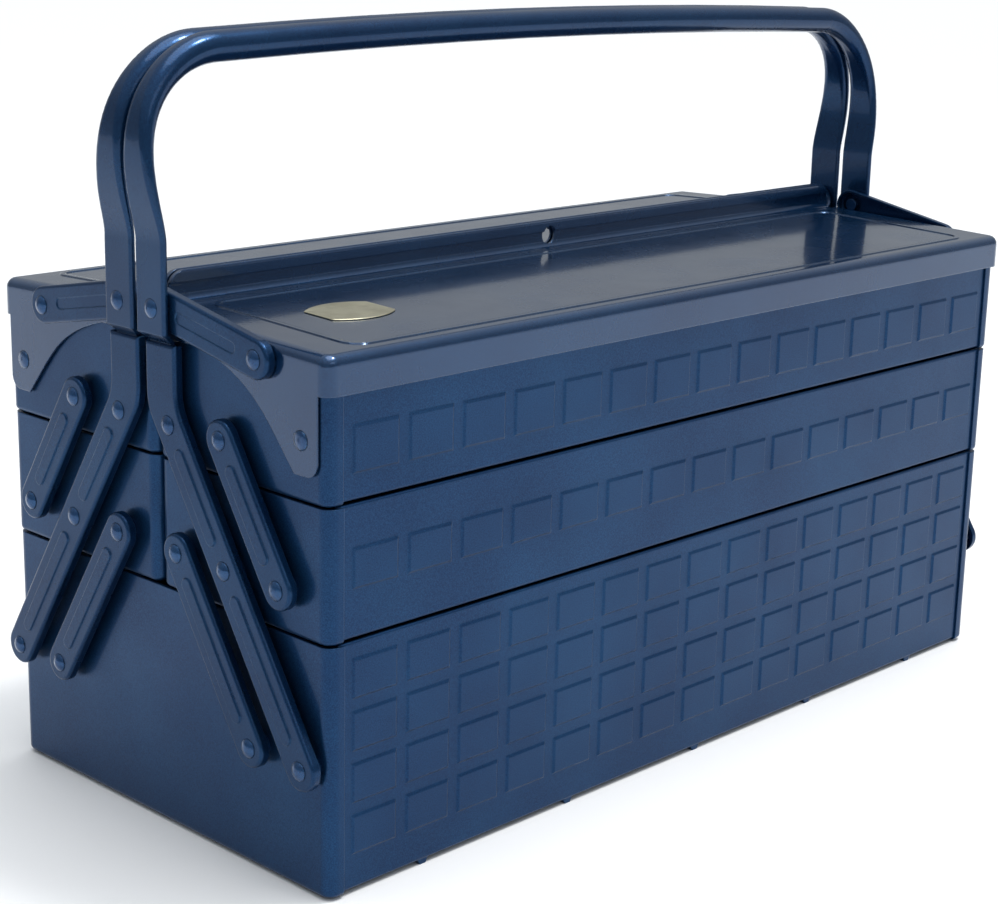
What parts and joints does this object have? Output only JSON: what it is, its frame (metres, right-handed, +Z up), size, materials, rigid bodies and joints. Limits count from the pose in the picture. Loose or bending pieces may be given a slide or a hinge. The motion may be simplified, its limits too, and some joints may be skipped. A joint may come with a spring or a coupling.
{
  "type": "cantilever tool box",
  "caption": "Cantilever tool box of pressed sheet steel: hinged lids, tiered trays that swing apart on riveted link arms, and a split tube handle that opens them.",
  "frame": {"origin": "centre of the bounding box in plan, at the height of the flat beads the box stands on", "axes": "+X along the box's length towards the right end, +Y towards the back half, +Z up; the badge is on the front half at -Y"},
  "size_m": [0.4992, 0.22, 0.3438],
  "materials": {
    "tray_paint": "glossy deep blue enamel on pressed sheet steel",
    "lid_paint": "glossy deep blue enamel, smooth",
    "arm_paint": "glossy deep blue enamel on pressed channels",
    "handle_paint": "glossy deep blue enamel on steel tube",
    "rivet_paint": "glossy blue enamel over rivet heads and spacers",
    "badge_brass": "blank satin brass plate"
  },
  "bodies": {
    "bottom_tray": {"bottom_tray_sheet": "tray_paint", "bottom_tray_end_left": "tray_paint", "bottom_tray_end_right": "tray_paint", "bottom_tray_rivets": "rivet_paint", "bottom_tray_spacers": "rivet_paint"},
    "handle_arms_front": {"handle_front": "handle_paint", "handle_rivets_front": "rivet_paint", "long_arm_front_left": "arm_paint", "long_arm_front_right": "arm_paint"},
    "mid_tray_front": {"mid_tray_sheet_front": "tray_paint", "mid_tray_end_front_left": "tray_paint", "mid_tray_end_front_right": "tray_paint", "mid_tray_rivets_front": "rivet_paint", "mid_tray_spacers_front": "rivet_paint"},
    "upper_tray_front": {"upper_tray_sheet_front": "tray_paint", "upper_tray_end_front_left": "tray_paint", "upper_tray_end_front_right": "tray_paint", "upper_tray_rivets_front": "rivet_paint", "upper_tray_spacers_front": "rivet_paint"},
    "inner_links_front": {"inner_link_front_left": "arm_paint", "inner_link_front_right": "arm_paint"},
    "outer_links_front": {"outer_link_front_left": "arm_paint", "outer_link_front_right": "arm_paint"},
    "lid_front": {"lid_front": "lid_paint", "lid_rail_front": "lid_paint", "lid_rivets_front": "rivet_paint", "lid_spacers_front": "rivet_paint", "name_badge": "badge_brass"},
    "lid_links_front": {"lid_link_front_left": "arm_paint", "lid_link_front_right": "arm_paint"},
    "handle_arms_back": {"handle_back": "handle_paint", "handle_rivets_back": "rivet_paint", "long_arm_back_left": "arm_paint", "long_arm_back_right": "arm_paint"},
    "mid_tray_back": {"mid_tray_sheet_back": "tray_paint", "mid_tray_end_back_left": "tray_paint", "mid_tray_end_back_right": "tray_paint", "mid_tray_rivets_back": "rivet_paint", "mid_tray_spacers_back": "rivet_paint"},
    "upper_tray_back": {"upper_tray_sheet_back": "tray_paint", "upper_tray_end_back_left": "tray_paint", "upper_tray_end_back_right": "tray_paint", "upper_tray_rivets_back": "rivet_paint", "upper_tray_spacers_back": "rivet_paint"},
    "inner_links_back": {"inner_link_back_left": "arm_paint", "inner_link_back_right": "arm_paint"},
    "outer_links_back": {"outer_link_back_left": "arm_paint", "outer_link_back_right": "arm_paint"},
    "lid_back": {"lid_back": "lid_paint", "lid_rail_back": "lid_paint", "lid_rivets_back": "rivet_paint", "lid_spacers_back": "rivet_paint"},
    "lid_links_back": {"lid_link_back_left": "arm_paint", "lid_link_back_right": "arm_paint"}
  },
  "joints": [
    {"name": "arms_open_front", "type": "hinge", "parent": "bottom_tray", "child": "handle_arms_front", "pos_m": [0, -0.0986, 0.057], "axis": [1, 0, 0], "range_deg": [0, 65]},
    {"name": "mid_tray_swing_front", "type": "hinge", "parent": "handle_arms_front", "child": "mid_tray_front", "pos_m": [0, -0.052, 0.129], "axis": [1, 0, 0], "range_deg": [-65.1, 0]},
    {"name": "upper_tray_swing_front", "type": "hinge", "parent": "handle_arms_front", "child": "upper_tray_front", "pos_m": [0, -0.017, 0.183], "axis": [1, 0, 0], "range_deg": [-65.1, 0]},
    {"name": "inner_links_swing_front", "type": "hinge", "parent": "bottom_tray", "child": "inner_links_front", "pos_m": [0, -0.067, 0.057], "axis": [1, 0, 0], "range_deg": [0, 65.1]},
    {"name": "outer_links_swing_front", "type": "hinge", "parent": "mid_tray_front", "child": "outer_links_front", "pos_m": [0, -0.085, 0.129], "axis": [1, 0, 0], "range_deg": [0, 65.1]},
    {"name": "lid_opens_front", "type": "hinge", "parent": "upper_tray_front", "child": "lid_front", "pos_m": [0, -0.0945, 0.191], "axis": [1, 0, 0], "range_deg": [0, 86.5]},
    {"name": "lid_links_swing_front", "type": "hinge", "parent": "lid_front", "child": "lid_links_front", "pos_m": [0, -0.072, 0.2195], "axis": [1, 0, 0], "range_deg": [-105.7, 0]},
    {"name": "arms_open_back", "type": "hinge", "parent": "bottom_tray", "child": "handle_arms_back", "pos_m": [0, 0.0986, 0.057], "axis": [-1, 0, 0], "range_deg": [0, 65]},
    {"name": "mid_tray_swing_back", "type": "hinge", "parent": "handle_arms_back", "child": "mid_tray_back", "pos_m": [0, 0.052, 0.129], "axis": [-1, 0, 0], "range_deg": [-65.1, 0]},
    {"name": "upper_tray_swing_back", "type": "hinge", "parent": "handle_arms_back", "child": "upper_tray_back", "pos_m": [0, 0.017, 0.183], "axis": [-1, 0, 0], "range_deg": [-65.1, 0]},
    {"name": "inner_links_swing_back", "type": "hinge", "parent": "bottom_tray", "child": "inner_links_back", "pos_m": [0, 0.067, 0.057], "axis": [-1, 0, 0], "range_deg": [0, 65.1]},
    {"name": "outer_links_swing_back", "type": "hinge", "parent": "mid_tray_back", "child": "outer_links_back", "pos_m": [0, 0.085, 0.129], "axis": [-1, 0, 0], "range_deg": [0, 65.1]},
    {"name": "lid_opens_back", "type": "hinge", "parent": "upper_tray_back", "child": "lid_back", "pos_m": [0, 0.0945, 0.191], "axis": [-1, 0, 0], "range_deg": [0, 86.5]},
    {"name": "lid_links_swing_back", "type": "hinge", "parent": "lid_back", "child": "lid_links_back", "pos_m": [0, 0.072, 0.2195], "axis": [-1, 0, 0], "range_deg": [-105.7, 0]}
  ],
  "couplings": [
    {"joint": "mid_tray_swing_front", "follows": "arms_open_front", "ratio": -1},
    {"joint": "upper_tray_swing_front", "follows": "arms_open_front", "ratio": -1},
    {"joint": "inner_links_swing_front", "follows": "arms_open_front", "ratio": 1},
    {"joint": "outer_links_swing_front", "follows": "arms_open_front", "ratio": 1},
    {"joint": "lid_opens_front", "follows": "arms_open_front", "ratio": 1.3273},
    {"joint": "lid_links_swing_front", "follows": "arms_open_front", "ratio": -1.6238},
    {"joint": "mid_tray_swing_back", "follows": "arms_open_back", "ratio": -1},
    {"joint": "upper_tray_swing_back", "follows": "arms_open_back", "ratio": -1},
    {"joint": "inner_links_swing_back", "follows": "arms_open_back", "ratio": 1},
    {"joint": "outer_links_swing_back", "follows": "arms_open_back", "ratio": 1},
    {"joint": "lid_opens_back", "follows": "arms_open_back", "ratio": 1.3273},
    {"joint": "lid_links_swing_back", "follows": "arms_open_back", "ratio": -1.6238}
  ]
}
